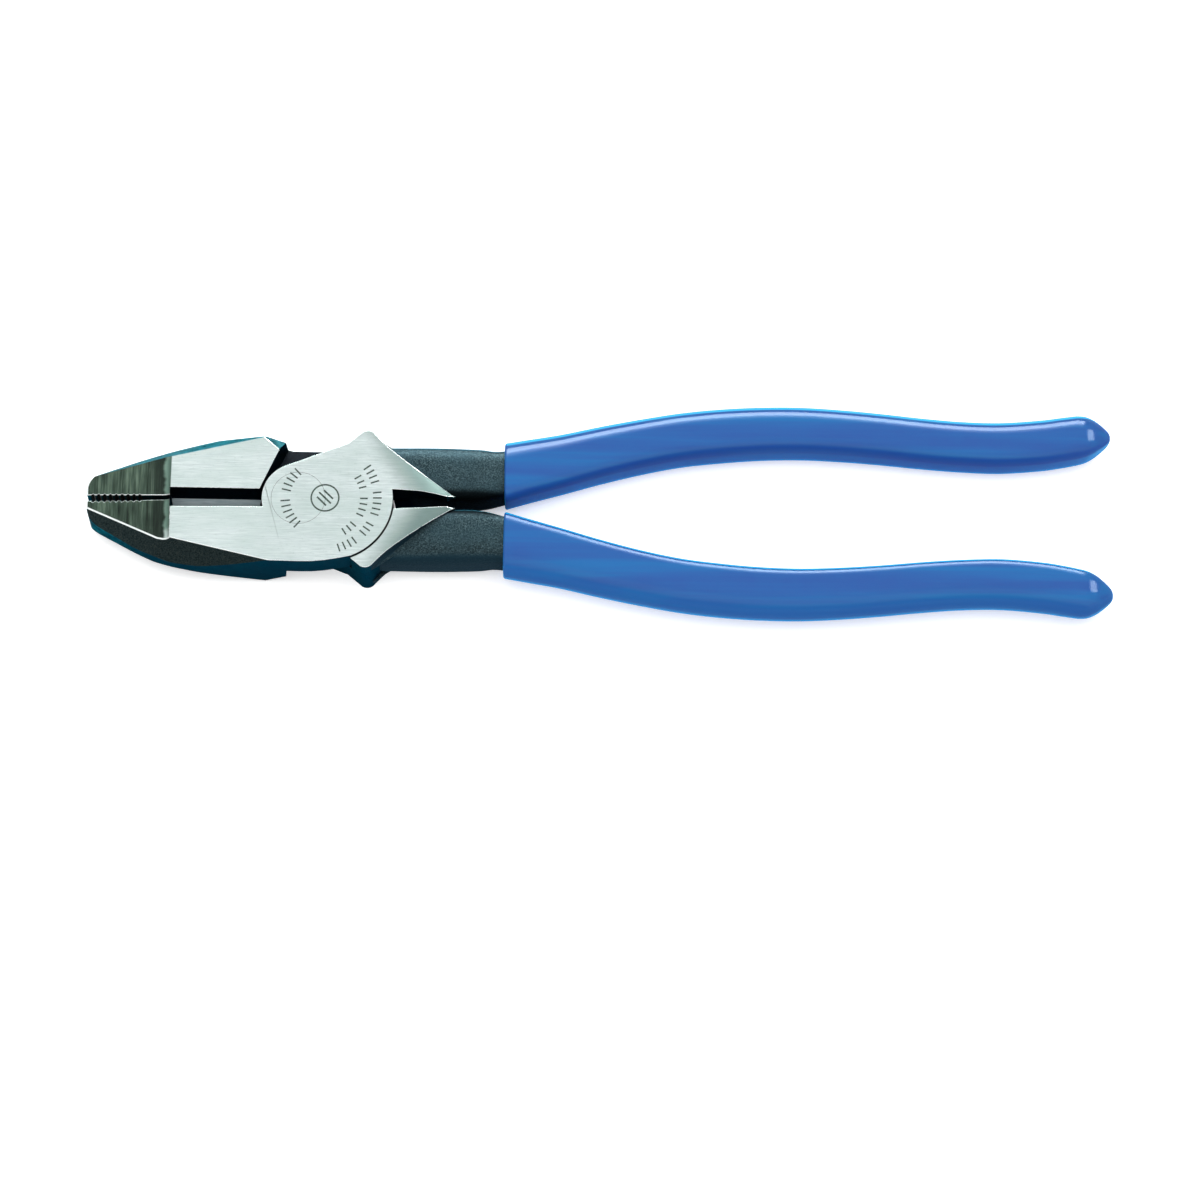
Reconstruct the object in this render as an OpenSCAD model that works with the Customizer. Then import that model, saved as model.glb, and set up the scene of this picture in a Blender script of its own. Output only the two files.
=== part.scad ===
// Lineman pliers: two forged steel halves in a lap joint, one flush rivet
// and two dipped grips.
// The rivet axis is the Z axis and the back ground face lies on z = 0.
// The jaws point to -X, the handles to +X. Each half is drawn once, closed,
// with its jaw at -Y and its handle at +Y. The other half is the same forging
// turned half a turn about the X axis through the middle of the head.

/* [Head] */
// Distance from the rivet axis to the nose
jaw_len = 49; // [46:0.5:52]
// Thickness of the head across its two ground faces
head_t = 15.9; // [15:0.1:17]
// Radius of the round lap disc behind the rivet
disc_r = 15.03; // [14.95:0.01:15.05]
// Distance of the lap disc centre behind the rivet axis
disc_x = 6.8; // [6.7:0.05:6.9]
// Radius of the hub round the rivet
hub_r = 8.45; // [8.35:0.05:8.5]

/* [Running clearances] */
// Gap between the two lap faces
lap_gap = 0.06; // [0.04:0.01:0.1]
// Gap round the lap disc
disc_gap = 0.2; // [0.15:0.01:0.25]
// Gap round the hub
hub_gap = 0.25; // [0.2:0.01:0.3]
// Radial gap between the rivet and its holes
rivet_fit = 0.05; // [0.03:0.01:0.08]
// Gap between a grip and its steel tang
grip_fit = 0.03; // [0.02:0.01:0.05]

/* [Rivet] */
// Diameter of the rivet shank
rivet_d = 9.5; // [8:0.1:10]
// Diameter of the flush rivet heads
rivet_head_d = 12.5; // [11:0.1:13.5]

/* [Jaws] */
// Number of grooves across each gripping face
teeth = 9; // [4:1:9]
// Distance between two grooves
tooth_pitch = 1.36; // [1:0.02:1.4]
// Depth of the grooves
tooth_depth = 0.4; // [0.2:0.05:0.6]
// Setback of the gripping face from the closing line
grip_gap = 0.27; // [0.15:0.01:0.4]
// Setback of the knife edge from the closing line
knife_gap = 0.03; // [0.02:0.01:0.06]
// Half height of the knife bevel
knife_h = 1.65; // [1.2:0.05:2.2]
// Jaw opening as drawn, in degrees
rest_open = 1; // [0:0.5:6]

/* [Handles] */
// Distance from the rivet axis to the grip tips
handle_len = 188.8; // [175:0.5:200]
// Extra spread of each handle at its tip
handle_spread = 0; // [-2:0.5:10]

/* [Hidden] */
mid = head_t / 2;
mouth_x = 47.6;
groove_x = -47.6;
knife_x = -29.7;
steel = [0.66, 0.69, 0.71];
black_steel = [0.25, 0.28, 0.30];
blue = [0.20, 0.38, 0.68];

// Stretches the jaw to its length without moving the hub
function jx(x) = x < -hub_r ? -hub_r + (x + hub_r) * (jaw_len - hub_r) / (49 - hub_r) : x;
// Stretches the handle to its length without moving the grip mouth
function hx(x) = x > mouth_x ? mouth_x + (x - mouth_x) * (handle_len - mouth_x) / (188.8 - mouth_x) : x;
function hy(x) = x > mouth_x ? handle_spread * (x - mouth_x) / (188.8 - mouth_x) : 0;

function arc(x, y, r, a0, a1, n) =
    [for (i = [0:n]) let (a = a0 + (a1 - a0) * i / n) [x + r * cos(a), y + r * sin(a)]];

// Back of one jaw from the nose to the lap disc: distance along, half width
jaw_back = [
    [-49, 2.2], [-48.6, 3.6], [-47.6, 4.7], [-46.4, 5.6], [-42.3, 7.95],
    [-38.1, 10.35], [-34, 12.25], [-29.9, 13.65], [-26.2, 14.4], [-22.7, 14.9],
    [-17.4, 15.15], [-12, 15.2], [-7, 15.1], [-3, 15.2], [0, 15.35]];
// Lower rim of the lap disc between the jaw back and the round part
disc_rim = [[3, -15.35], [6, -15.1], [9.7, -14.5]];
// Bright root of the handle: inner edge, tip, crease and spur
handle_root = [
    [28.5, 1.75], [34.3, 0.9], [36.4, 1.1], [34.8, 1.9], [27.8, 6.86],
    [20.9, 12.27], [17.3, 16], [16.6, 16.4], [15.8, 16.55], [15, 16.4], [14.4, 16.05]];

jaw_face = [[-hub_r, -knife_gap], [jx(knife_x), -knife_gap],
            [jx(knife_x), -grip_gap], [-jaw_len, -grip_gap]];

plate_outline = concat(
    [for (p = jaw_back) [jx(p[0]), -p[1]]], disc_rim,
    arc(disc_x, 0, disc_r, -68, 8.4, 24), handle_root, [[11.3, 13.35]],
    arc(0, 0, hub_r, 110.9, 179, 16), jaw_face);

jaw_outline = concat([for (p = jaw_back) [jx(p[0]), -p[1]]], [[0, -knife_gap]], jaw_face);

root_outline = concat([[12, 2.2], [21.67, 2.2]], handle_root, [[11.3, 13.35]]);

// Steel tang: distance along, centre, width, height
tang_rows = [
    [18, 8.2, 11.8, 11], [24, 8.2, 11.8, 11], [30, 7.75, 12.6, 11], [36, 7.45, 12.9, 11],
    [42, 7.35, 12.7, 10.9], [47.6, 7.75, 11.5, 10.4], [60.8, 11, 10.2, 10.1],
    [79.3, 15.5, 9, 9.9], [97.9, 18.25, 8.6, 9.8], [116.5, 18.95, 8.3, 9.6],
    [135, 17.5, 8.1, 9.5], [153.6, 15.6, 7.9, 9.4], [172.1, 15.9, 7.6, 9],
    [179, 16.9, 6.4, 7.6], [182, 17.4, 4.2, 5.2]];
mouth_row = 5;

// Outside of the grip: distance along, centre, width, height
grip_rows = [
    [47.6, 8.2, 13.9, 11.8], [48.4, 8.45, 14.8, 12.6], [53.5, 9.6, 14.1, 12.55],
    [60.8, 11.22, 13.3, 12.5], [70.1, 13.57, 12.65, 12.4], [79.3, 15.62, 12.1, 12.3],
    [88.6, 17.32, 11.8, 12.2], [97.9, 18.34, 11.7, 12.2], [107.2, 18.92, 11.5, 12.1],
    [116.5, 19, 11.35, 12], [125.7, 18.5, 11.2, 12], [135, 17.68, 11.05, 11.9],
    [144.3, 16.66, 10.95, 11.8], [153.6, 15.86, 10.85, 11.8], [162.9, 15.55, 10.95, 11.7],
    [172.1, 16.16, 11, 11.5], [181.4, 17.5, 10.7, 11.2], [183.4, 17.65, 9.8, 10.4],
    [186, 17.7, 7, 8], [188, 17.7, 3.7, 4.6], [188.8, 17.7, 1.3, 2]];

// Smooth curve through the rows of a table
function through(a, b, c, d, t) =
    0.5 * (2 * b + (c - a) * t + (2 * a - 5 * b + 4 * c - d) * t * t + (3 * b - a - 3 * c + d) * t * t * t);
function smooth(rows, k) = concat(
    [for (i = [0:len(rows) - 2], j = [0:k - 1])
        through(rows[max(i - 1, 0)], rows[i], rows[i + 1], rows[min(i + 2, len(rows) - 1)], j / k)],
    [rows[len(rows) - 1]]);

// Rounded section across the handle, made larger by g on every side
function sgnpow(v, e) = sign(v) * pow(abs(v), e);
function section(r, e, g, m) =
    [for (i = [0:m - 1]) let (a = 360 * i / m)
        [hx(r[0]), r[1] + hy(r[0]) + (r[2] / 2 + g) * sgnpow(cos(a), 2 / e),
         mid + (r[3] / 2 + g) * sgnpow(sin(a), 2 / e)]];

ring_n = 24;
tang_path = smooth(tang_rows, 2);
tang_rings = [for (r = tang_path) section(r, 3, 0, ring_n)];
cavity_rings = [for (i = [2 * mouth_row:len(tang_path) - 1]) section(tang_path[i], 3, grip_fit, ring_n)];
grip_rings = [for (r = smooth(grip_rows, 2)) section(r, 2.8, 0, ring_n)];

// Faces of the wall between rings a and a + 1, facing out or in
function wall(a, m, out) = [for (i = [0:m - 1]) let (
        p = a * m + i, q = a * m + (i + 1) % m, r = p + m, s = q + m)
    each out ? [[p, r, s], [p, s, q]] : [[p, s, r], [p, q, s]]];
function fan(o, m, rising) = [for (i = [1:m - 2]) rising ? [o, o + i, o + i + 1] : [o, o + i + 1, o + i]];

module loft(rings) {
    m = len(rings[0]);
    n = len(rings);
    polyhedron(points = [for (r = rings) each r],
        faces = concat(fan(0, m, true), fan((n - 1) * m, m, false),
            [for (k = [0:n - 2]) each wall(k, m, true)]), convexity = 4);
}

// Closed sleeve: outer skin, inner pocket and the mouth ring between them
module sleeve(outer, inner) {
    m = len(outer[0]);
    n = len(outer);
    k = len(inner);
    polyhedron(points = [for (r = concat(outer, inner)) each r],
        faces = concat(
            [for (i = [0:n - 2]) each wall(i, m, true)], fan((n - 1) * m, m, false),
            [for (i = [n:n + k - 2]) each wall(i, m, false)], fan((n + k - 1) * m, m, true),
            [for (i = [0:m - 1]) let (p = i, q = (i + 1) % m, r = n * m + p, s = n * m + q)
                each [[p, q, s], [p, s, r]]]), convexity = 6);
}

// Removes what lies above a plane that meets the front face on a line.
// The line starts at p and runs at angle a, and the plane falls away to its right
module bevel_cut(p, a, slope)
    translate([p[0], p[1], head_t]) rotate([0, 0, a]) rotate([slope, 0, 0])
        translate([-70, -60, 0]) cube([140, 120, 60]);

module on_back() translate([0, 0, head_t]) mirror([0, 0, 1]) children();

module on_both() {
    children();
    on_back() children();
}

// Relief of the nose below the ground face, with a hollow step
module nose_facet()
    translate([0, 30, 0]) rotate([90, 0, 0]) linear_extrude(60)
        polygon(concat([[jx(-49) - 2, head_t + 2], [jx(-29.6), head_t + 2]],
            [for (i = [0:6]) let (a = 50.6 * (1 - i / 6))
                [jx(-31.6) + 2.6 * sin(a), head_t - 0.95 + 2.6 * (1 - cos(a))]],
            [[jx(-49) - 2, head_t - 2.06]]));

// Opening above the knife, as wide as the slot
module knife_relief(x0, x1)
    translate([x0, 0, 0]) rotate([90, 0, 90]) linear_extrude(x1 - x0)
        polygon([[-knife_gap, mid], [-1.42 - knife_gap, mid + knife_h],
            [-2.2, head_t], [-2.22, head_t + 1], [3, head_t + 1], [3, mid]]);

module grooves()
    for (i = [0:teeth - 1])
        translate([jx(groove_x) + i * tooth_pitch, -grip_gap, -1]) linear_extrude(head_t + 2)
            polygon([[-tooth_depth * 1.2, 0.4], [-tooth_depth * 1.2, 0], [0, -tooth_depth],
                [tooth_depth * 1.2, 0], [tooth_depth * 1.2, 0.4]]);

// Rivet solid, or its hole when g is more than 0
module rivet_shape(g) {
    h = (rivet_head_d - rivet_d) / 2;
    e = g > 0 ? 1 : 0;
    cut = g * 1.4142;
    translate([0, 0, -e]) cylinder(h = head_t + 2 * e, r = rivet_d / 2 + g, $fn = 96);
    cylinder(h = h + cut, r1 = rivet_head_d / 2 + cut, r2 = rivet_d / 2, $fn = 96);
    translate([0, 0, head_t - h - cut])
        cylinder(h = h + cut, r1 = rivet_d / 2, r2 = rivet_head_d / 2 + cut, $fn = 96);
}

// Front layer of the forging: jaw, lap disc, neck and handle root
module head_plate() difference() {
    translate([0, 0, mid + lap_gap / 2]) linear_extrude(mid - lap_gap / 2) polygon(plate_outline);
    bevel_cut([27.5, 2], 121, 16);
    difference() {
        knife_relief(jx(knife_x + 0.8), 0);
        cylinder(h = 2 * head_t, r = hub_r, $fn = 96);
    }
}

// Back layer of the jaw, up to the wall that faces the other hub
module lower_jaw() difference() {
    linear_extrude(mid + 1) polygon(jaw_outline);
    translate([0, 0, -1]) cylinder(h = head_t, r = hub_r + hub_gap, $fn = 96);
    translate([-8.2, -4, 0]) rotate([0, 0, -66.3]) rotate([-7, 0, 0])
        translate([-50, 0, -20]) cube([100, 50, 60]);
    on_back() bevel_cut([-7.8, -14.72], 39.6, 42);
    on_back() knife_relief(jx(knife_x + 0.8), 0);
}

// Back layer of the handle root, hollowed round the other lap disc
module lower_root() difference() {
    linear_extrude(mid + 1) polygon(root_outline);
    translate([disc_x, 0, -1]) cylinder(h = head_t, r = disc_r + disc_gap, $fn = 128);
    on_back() bevel_cut([27.5, 2], 121, 16);
}

module tang() difference() {
    loft(tang_rings);
    translate([disc_x, 0, -1]) cylinder(h = mid + lap_gap / 2 + 1, r = disc_r + disc_gap, $fn = 128);
}

module half() difference() {
    union() {
        head_plate();
        lower_jaw();
        lower_root();
        tang();
    }
    on_both() {
        nose_facet();
        bevel_cut([jx(-27.8), -10], -13.57, 57);
        bevel_cut([jx(-46.4), -1.76], -26.8, 56.5);
    }
    grooves();
    rivet_shape(rivet_fit);
}

// Places a front or a back piece in the drawn opening
module as_front() rotate([0, 0, rest_open / 2]) children();
module as_back() rotate([0, 0, -rest_open / 2]) translate([0, 0, head_t]) rotate([180, 0, 0]) children();

module front_half() color(steel) as_front() half();
module back_half() color(black_steel) as_back() half();
module pivot_rivet() color(steel) as_front() rivet_shape(0);
module front_grip() color(blue) as_front() sleeve(grip_rings, cavity_rings);
module back_grip() color(blue) as_back() sleeve(grip_rings, cavity_rings);

front_half();
back_half();
pivot_rivet();
front_grip();
back_grip();
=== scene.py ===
import bpy, bmesh, math
from mathutils import Vector, Matrix


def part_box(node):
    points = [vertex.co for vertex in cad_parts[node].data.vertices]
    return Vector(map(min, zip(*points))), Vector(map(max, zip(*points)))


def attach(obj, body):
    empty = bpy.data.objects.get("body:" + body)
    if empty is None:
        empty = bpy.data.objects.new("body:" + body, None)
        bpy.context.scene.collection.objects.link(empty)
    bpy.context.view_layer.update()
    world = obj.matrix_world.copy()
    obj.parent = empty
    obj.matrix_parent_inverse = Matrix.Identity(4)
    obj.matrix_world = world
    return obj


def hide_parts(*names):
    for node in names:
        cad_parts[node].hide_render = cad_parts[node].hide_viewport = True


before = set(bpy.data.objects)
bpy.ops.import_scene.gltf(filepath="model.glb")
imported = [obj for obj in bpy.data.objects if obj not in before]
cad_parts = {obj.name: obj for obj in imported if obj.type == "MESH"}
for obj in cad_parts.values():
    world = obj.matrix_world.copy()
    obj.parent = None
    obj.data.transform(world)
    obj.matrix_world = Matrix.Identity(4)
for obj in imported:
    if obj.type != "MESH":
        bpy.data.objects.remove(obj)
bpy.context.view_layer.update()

# ---------------------------------------------------------------- measures (millimetres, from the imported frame)
lo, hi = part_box("front_half")
T = hi[2] * 1000.0                       # head thickness
MID = T / 2
NOSE_X = lo[0] * 1000.0                  # nose
lo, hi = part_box("pivot_rivet")
HEAD_R = (hi[0] - lo[0]) * 500.0         # flush rivet head
REST = 0.5                               # half of the drawn opening, degrees
LAP = 0.03                               # half of the lap gap
DISC_X, DISC_R, HUB_R = 6.8, 15.03, 8.45
HUB_GAP, DISC_GAP = 0.25, 0.2
SHANK_R = 4.75

OXIDE, GROUND, NOSE, KNIFE, LAPF, FORGED, STAMP, EDGE, TOOTH, WALL = range(10)

# ---------------------------------------------------------------- small node-graph helper
class Graph:
    def __init__(self, name):
        self.mat = bpy.data.materials.new(name)
        self.mat.use_nodes = True
        self.nt = self.mat.node_tree
        self.nt.nodes.clear()
        self.out = self.nt.nodes.new("ShaderNodeOutputMaterial")
        self.bsdf = self.nt.nodes.new("ShaderNodeBsdfPrincipled")
        self.nt.links.new(self.bsdf.outputs[0], self.out.inputs[0])
        tc = self.nt.nodes.new("ShaderNodeTexCoord")
        mm = self.nt.nodes.new("ShaderNodeVectorMath")
        mm.operation = "SCALE"
        mm.inputs["Scale"].default_value = 1000.0
        self.nt.links.new(tc.outputs["Object"], mm.inputs[0])
        self.pos = mm.outputs[0]         # rest position in millimetres
        sep = self.nt.nodes.new("ShaderNodeSeparateXYZ")
        self.nt.links.new(self.pos, sep.inputs[0])
        self.x, self.y, self.z = sep.outputs

    def link(self, a, b):
        if hasattr(a, "is_linked"):
            self.nt.links.new(a, b)
        else:
            b.default_value = a

    def math(self, op, a, b=0.0, c=None, clamp=False):
        n = self.nt.nodes.new("ShaderNodeMath")
        n.operation = op
        n.use_clamp = clamp
        self.link(a, n.inputs[0])
        self.link(b, n.inputs[1])
        if c is not None:
            self.link(c, n.inputs[2])
        return n.outputs[0]

    def scaled(self, s, off=(0, 0, 0)):
        n = self.nt.nodes.new("ShaderNodeMapping")
        n.inputs["Scale"].default_value = s
        n.inputs["Location"].default_value = off
        self.nt.links.new(self.pos, n.inputs["Vector"])
        return n.outputs[0]

    def noise(self, s, detail=4.0, rough=0.55, off=(0, 0, 0)):
        n = self.nt.nodes.new("ShaderNodeTexNoise")
        n.inputs["Scale"].default_value = 1.0
        n.inputs["Detail"].default_value = detail
        n.inputs["Roughness"].default_value = rough
        self.nt.links.new(self.scaled(s, off), n.inputs["Vector"])
        return n.outputs[0]

    def ramp(self, fac, stops):
        n = self.nt.nodes.new("ShaderNodeValToRGB")
        e = n.color_ramp.elements
        while len(e) < len(stops):
            e.new(0.5)
        for k, (p, c) in zip(e, stops):
            k.position = p
            k.color = (c[0], c[1], c[2], 1.0) if not isinstance(c, float) else (c, c, c, 1.0)
        self.nt.links.new(fac, n.inputs[0])
        return n.outputs[0]

    def span(self, v, a, b, lo=0.0, hi=1.0, smooth=False):
        n = self.nt.nodes.new("ShaderNodeMapRange")
        n.interpolation_type = "SMOOTHSTEP" if smooth else "LINEAR"
        self.link(v, n.inputs["Value"])
        n.inputs["From Min"].default_value = a
        n.inputs["From Max"].default_value = b
        n.inputs["To Min"].default_value = lo
        n.inputs["To Max"].default_value = hi
        return n.outputs[0]

    def mix(self, fac, a, b, mode="MIX"):
        n = self.nt.nodes.new("ShaderNodeMix")
        n.data_type = "RGBA"
        n.blend_type = mode
        self.link(fac, n.inputs[0])
        for v, i in ((a, 6), (b, 7)):
            if isinstance(v, tuple):
                v = (v[0], v[1], v[2], 1.0)
            self.link(v, n.inputs[i])
        return n.outputs[2]

    def bump(self, height, strength, distance_mm, prev=None):
        n = self.nt.nodes.new("ShaderNodeBump")
        n.inputs["Strength"].default_value = strength
        n.inputs["Distance"].default_value = distance_mm * 0.001
        self.nt.links.new(height, n.inputs["Height"])
        if prev is not None:
            self.nt.links.new(prev, n.inputs["Normal"])
        return n.outputs[0]

    def set(self, **kw):
        for k, v in kw.items():
            sock = self.bsdf.inputs[k.replace("_", " ")]
            if isinstance(v, tuple):
                v = (v[0], v[1], v[2], 1.0)
            self.link(v, sock)
        return self

# ---------------------------------------------------------------- materials
def along_tangent(g, vec):
    n = g.nt.nodes.new("ShaderNodeVectorTransform")
    n.vector_type = "VECTOR"
    n.convert_from = "OBJECT"
    n.convert_to = "WORLD"
    n.inputs[0].default_value = vec
    g.nt.links.new(n.outputs[0], g.bsdf.inputs["Tangent"])

def mat_ground():
    g = Graph("ground_steel")
    line = g.noise((0.13, 2.5, 1.0), 6.0, 0.68)
    fine = g.noise((0.30, 6.0, 1.0), 3.0, 0.65, (3, 1, 0))
    cloud = g.noise((0.07, 0.16, 0.1), 3.0, 0.55, (9, 4, 0))
    speck = g.noise((1.1, 1.6, 1.0), 3.0, 0.7, (1, 8, 0))
    v = g.math("ADD", g.math("MULTIPLY", line, 0.55), g.math("MULTIPLY", fine, 0.45))
    col = g.ramp(v, [(0.34, (0.50, 0.57, 0.565)), (0.50, (0.68, 0.75, 0.745)), (0.64, (0.84, 0.90, 0.89))])
    col = g.mix(g.span(cloud, 0.38, 0.62, 0.0, 0.55), col, (0.52, 0.62, 0.59))
    col = g.mix(g.span(speck, 0.58, 0.75, 0.0, 0.45), col, (0.40, 0.50, 0.46))
    # painted shade: the ground face turns dark green where it rolls down the slope to the tang
    painted_slope_shade = g.span(g.math("ADD", g.math("MULTIPLY", g.x, 0.857), g.math("MULTIPLY", g.math("ABSOLUTE", g.y), 0.515)),
                  19.5, 27.0, 0.0, 1.0, True)
    col = g.mix(g.math("MULTIPLY", painted_slope_shade, 0.88), col, (0.09, 0.17, 0.15))
    col = g.mix(g.span(g.x, -16.0, 0.0, 0.0, 0.16, True), col, (0.40, 0.45, 0.45))
    g.set(Base_Color=col, Metallic=1.0, Roughness=g.span(v, 0.3, 0.7, 0.42, 0.27), Anisotropic=0.55,
          Normal=g.bump(v, 0.35, 0.025))
    along_tangent(g, (1, 0, 0))
    return g.mat

def mat_nose():
    g = Graph("nose_ground_steel")
    streak = g.noise((1.9, 0.05, 0.3), 5.0, 0.7)
    fine = g.noise((4.0, 0.12, 0.3), 3.0, 0.7, (7, 2, 0))
    wide = g.noise((0.45, 0.12, 0.1), 2.0, 0.5, (4, 2, 0))
    wave = g.noise((0.1, 0.35, 0.1), 2.0, 0.5, (2, 6, 0))
    v = g.math("ADD", g.math("ADD", g.math("MULTIPLY", streak, 0.4), g.math("MULTIPLY", fine, 0.3)),
               g.math("MULTIPLY", wide, 0.3))
    # painted shade: the very dark tones stand in for the dark reflection of the cross-ground facet; the streaks are the
    # grinding marks
    col = g.ramp(v, [(0.38, (0.008, 0.013, 0.010)), (0.50, (0.038, 0.060, 0.044)), (0.62, (0.105, 0.150, 0.112))])
    xx = g.math("ADD", g.x, g.span(wave, 0.3, 0.7, -0.45, 0.45))
    # painted shade: darker still just short of the hollow step
    dark = g.math("MULTIPLY", g.span(xx, -36.0, -32.0, 0.0, 1.0, True), g.span(xx, -30.9, -30.6, 1.0, 0.0, True))
    col = g.mix(g.math("MULTIPLY", dark, 0.75), col, (0.006, 0.010, 0.008))
    # painted highlight: a light band on the hollow step, brighter where y is below -9 mm
    band = g.span(xx, -31.3, -30.3, 0.0, 1.0, True)
    col = g.mix(g.math("MULTIPLY", band, 0.90), col, g.mix(g.span(g.y, -9.0, -7.0, 1.0, 0.0, True), (0.17, 0.27, 0.22), (0.60, 0.72, 0.68)))
    g.set(Base_Color=col, Metallic=0.85, Roughness=0.40, Normal=g.bump(v, 0.5, 0.03))
    return g.mat

def normal(g):
    """Rest direction of the surface, as three numbers."""
    t = g.nt.nodes.new("ShaderNodeTexCoord")
    n = g.nt.nodes.new("ShaderNodeSeparateXYZ")
    g.nt.links.new(t.outputs["Normal"], n.inputs[0])
    return n.outputs

def facing(g):
    n = g.nt.nodes.new("ShaderNodeLayerWeight")
    n.inputs["Blend"].default_value = 0.5
    return n.outputs["Facing"]

def mat_oxide(name="oxide_steel", film_sheen=(0.070, 0.34, 0.42), deep=(0.035, 0.072, 0.108), core=0.030, rough=0.30):
    g = Graph(name)
    n = g.noise((0.5, 0.5, 0.5), 5.0, 0.6)
    s = g.noise((0.35, 1.6, 0.25), 4.0, 0.6, (5, 5, 5))
    grain = g.noise((3.4, 3.4, 3.4), 2.0, 0.6, (1, 2, 3))
    tint = g.mix(g.span(n, 0.36, 0.66), deep, film_sheen)
    # painted reflection: the blue-green is strongest at the nose and along the upper edge (y above 3 mm); elsewhere it
    # is darkened towards the deep tone
    tint = g.mix(g.math("MULTIPLY", g.span(g.x, -46.0, -34.0, 0.0, 0.93, True), g.span(g.y, -2.0, 3.0, 1.0, 0.0, True)), tint, deep)
    if core > 0.02:                      # painted reflection: a lighter blue-green on faces turned towards +Y, along the upper edge
        up = g.math("MULTIPLY", g.span(normal(g)[1], 0.25, 0.60, 0.0, 1.0, True), g.span(n, 0.36, 0.60, 0.35, 0.9))
        tint = g.mix(up, tint, (0.16, 0.58, 0.66))
    black = g.ramp(grain, [(0.35, (core * 0.35, core * 0.6, core * 0.6)), (0.52, (core, core * 1.5, core * 1.55)),
                           (0.70, (core * 1.9, core * 2.2, core * 1.9))])
    # painted reflection: face-on the oxide stays near black, and the blue-green tint shows only at glancing angles
    col = g.mix(g.span(facing(g), 0.30, 0.62, 0.0, 1.0, True), black, tint)
    g.set(Base_Color=col, Metallic=1.0, Specular_Tint=(0.10, 0.42, 0.50), Roughness=g.span(s, 0.3, 0.7, rough - 0.05, rough + 0.10),
          Normal=g.bump(g.math("ADD", n, g.math("MULTIPLY", s, 0.5)), 0.22, 0.05))
    return g.mat

def mat_forged():
    g = Graph("forged_skin")
    grain = g.noise((3.0, 3.0, 3.0), 3.0, 0.75)
    pits = g.nt.nodes.new("ShaderNodeTexVoronoi")
    pits.inputs["Scale"].default_value = 1.0
    g.nt.links.new(g.scaled((2.1, 2.1, 2.1)), pits.inputs["Vector"])
    cloud = g.noise((0.12, 0.2, 0.2), 3.0, 0.5, (2, 7, 1))
    h = g.math("ADD", g.math("MULTIPLY", grain, 0.7), g.math("MULTIPLY", pits.outputs["Distance"], 0.5))
    col = g.ramp(grain, [(0.36, (0.006, 0.011, 0.013)), (0.50, (0.019, 0.033, 0.038)), (0.66, (0.060, 0.092, 0.101))])
    col = g.mix(g.span(cloud, 0.35, 0.7, 0.0, 0.5), col, (0.018, 0.036, 0.044))
    # painted reflection: a blue-green tint at glancing angles
    col = g.mix(g.span(facing(g), 0.55, 0.92, 0.0, 0.85, True), col, (0.012, 0.085, 0.125))
    ay = g.math("ABSOLUTE", g.y)
    # painted shade: a near-black shadow on the flanks that face each other, where |y| is under 2.3 to 3.7 mm and the
    # reflection is turned down too, and a dark blue shade on flanks turned towards -Y beyond |y| of 5 to 9 mm
    col = g.mix(g.math("MULTIPLY", g.span(normal(g)[1], -0.75, -0.35, 0.85, 0.0, True), g.span(ay, 5.0, 9.0, 0.0, 1.0)), col, (0.008, 0.026, 0.040))
    col = g.mix(g.span(ay, 2.3, 3.7, 0.94, 0.0, True), col, (0.0015, 0.002, 0.0025))
    # painted reflection: a blue-green sheen on flanks turned towards +Y, seen at glancing angles
    painted_grazing_sheen = g.math("MULTIPLY", g.span(normal(g)[1], 0.70, 0.92, 0.0, 0.8, True), g.span(facing(g), 0.40, 0.60, 0.0, 1.0, True))
    col = g.mix(painted_grazing_sheen, col, (0.04, 0.20, 0.28))
    g.set(Base_Color=col, Metallic=0.6, Roughness=g.span(grain, 0.3, 0.7, 0.60, 0.42), Specular_IOR_Level=g.span(ay, 2.3, 3.7, 0.05, 0.3),
          Specular_Tint=(0.25, 0.55, 0.70),
          Normal=g.bump(h, 0.62, 0.11))
    return g.mat

def mat_knife():
    g = Graph("knife_steel")
    s = g.noise((0.3, 6.0, 6.0), 4.0, 0.6)
    col = g.ramp(s, [(0.3, (0.42, 0.52, 0.56)), (0.7, (0.74, 0.82, 0.84))])
    g.set(Base_Color=col, Metallic=0.35, Roughness=0.38, Normal=g.bump(s, 0.25, 0.02))
    return g.mat

def mat_lap():
    g = Graph("lap_steel")
    s = g.noise((0.9, 0.9, 0.9), 5.0, 0.65)
    col = g.ramp(s, [(0.3, (0.003, 0.004, 0.006)), (0.7, (0.011, 0.016, 0.022))])
    g.set(Base_Color=col, Metallic=0.8, Roughness=0.45, Normal=g.bump(s, 0.3, 0.04))
    return g.mat

def mat_stamp():
    g = Graph("stamped_recess")
    s = g.noise((3.0, 3.0, 3.0), 3.0, 0.6)
    g.set(Base_Color=g.ramp(s, [(0.3, (0.02, 0.035, 0.03)), (0.7, (0.10, 0.14, 0.12))]), Metallic=0.6,
          Roughness=0.6, Normal=g.bump(s, 0.3, 0.03))
    return g.mat

def mat_edge():
    g = Graph("worn_edge_steel_and_shade")
    s = g.noise((0.8, 0.8, 0.8), 4.0, 0.6)
    d = normal(g)
    # painted shade: bevels turned towards +Y, and not towards +X, are darkened instead of bright
    shade = g.math("MULTIPLY", g.span(d[1], 0.08, 0.30, 0.0, 0.85, True), g.span(d[0], 0.1, 0.3, 1.0, 0.0, True))
    g.set(Base_Color=g.mix(shade, g.ramp(s, [(0.3, (0.80, 0.85, 0.84)), (0.7, (0.97, 0.99, 0.98))]), (0.16, 0.24, 0.22)), Metallic=1.0,
          Roughness=g.span(s, 0.3, 0.7, 0.34, 0.22), Normal=g.bump(s, 0.15, 0.02))
    return g.mat

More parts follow.
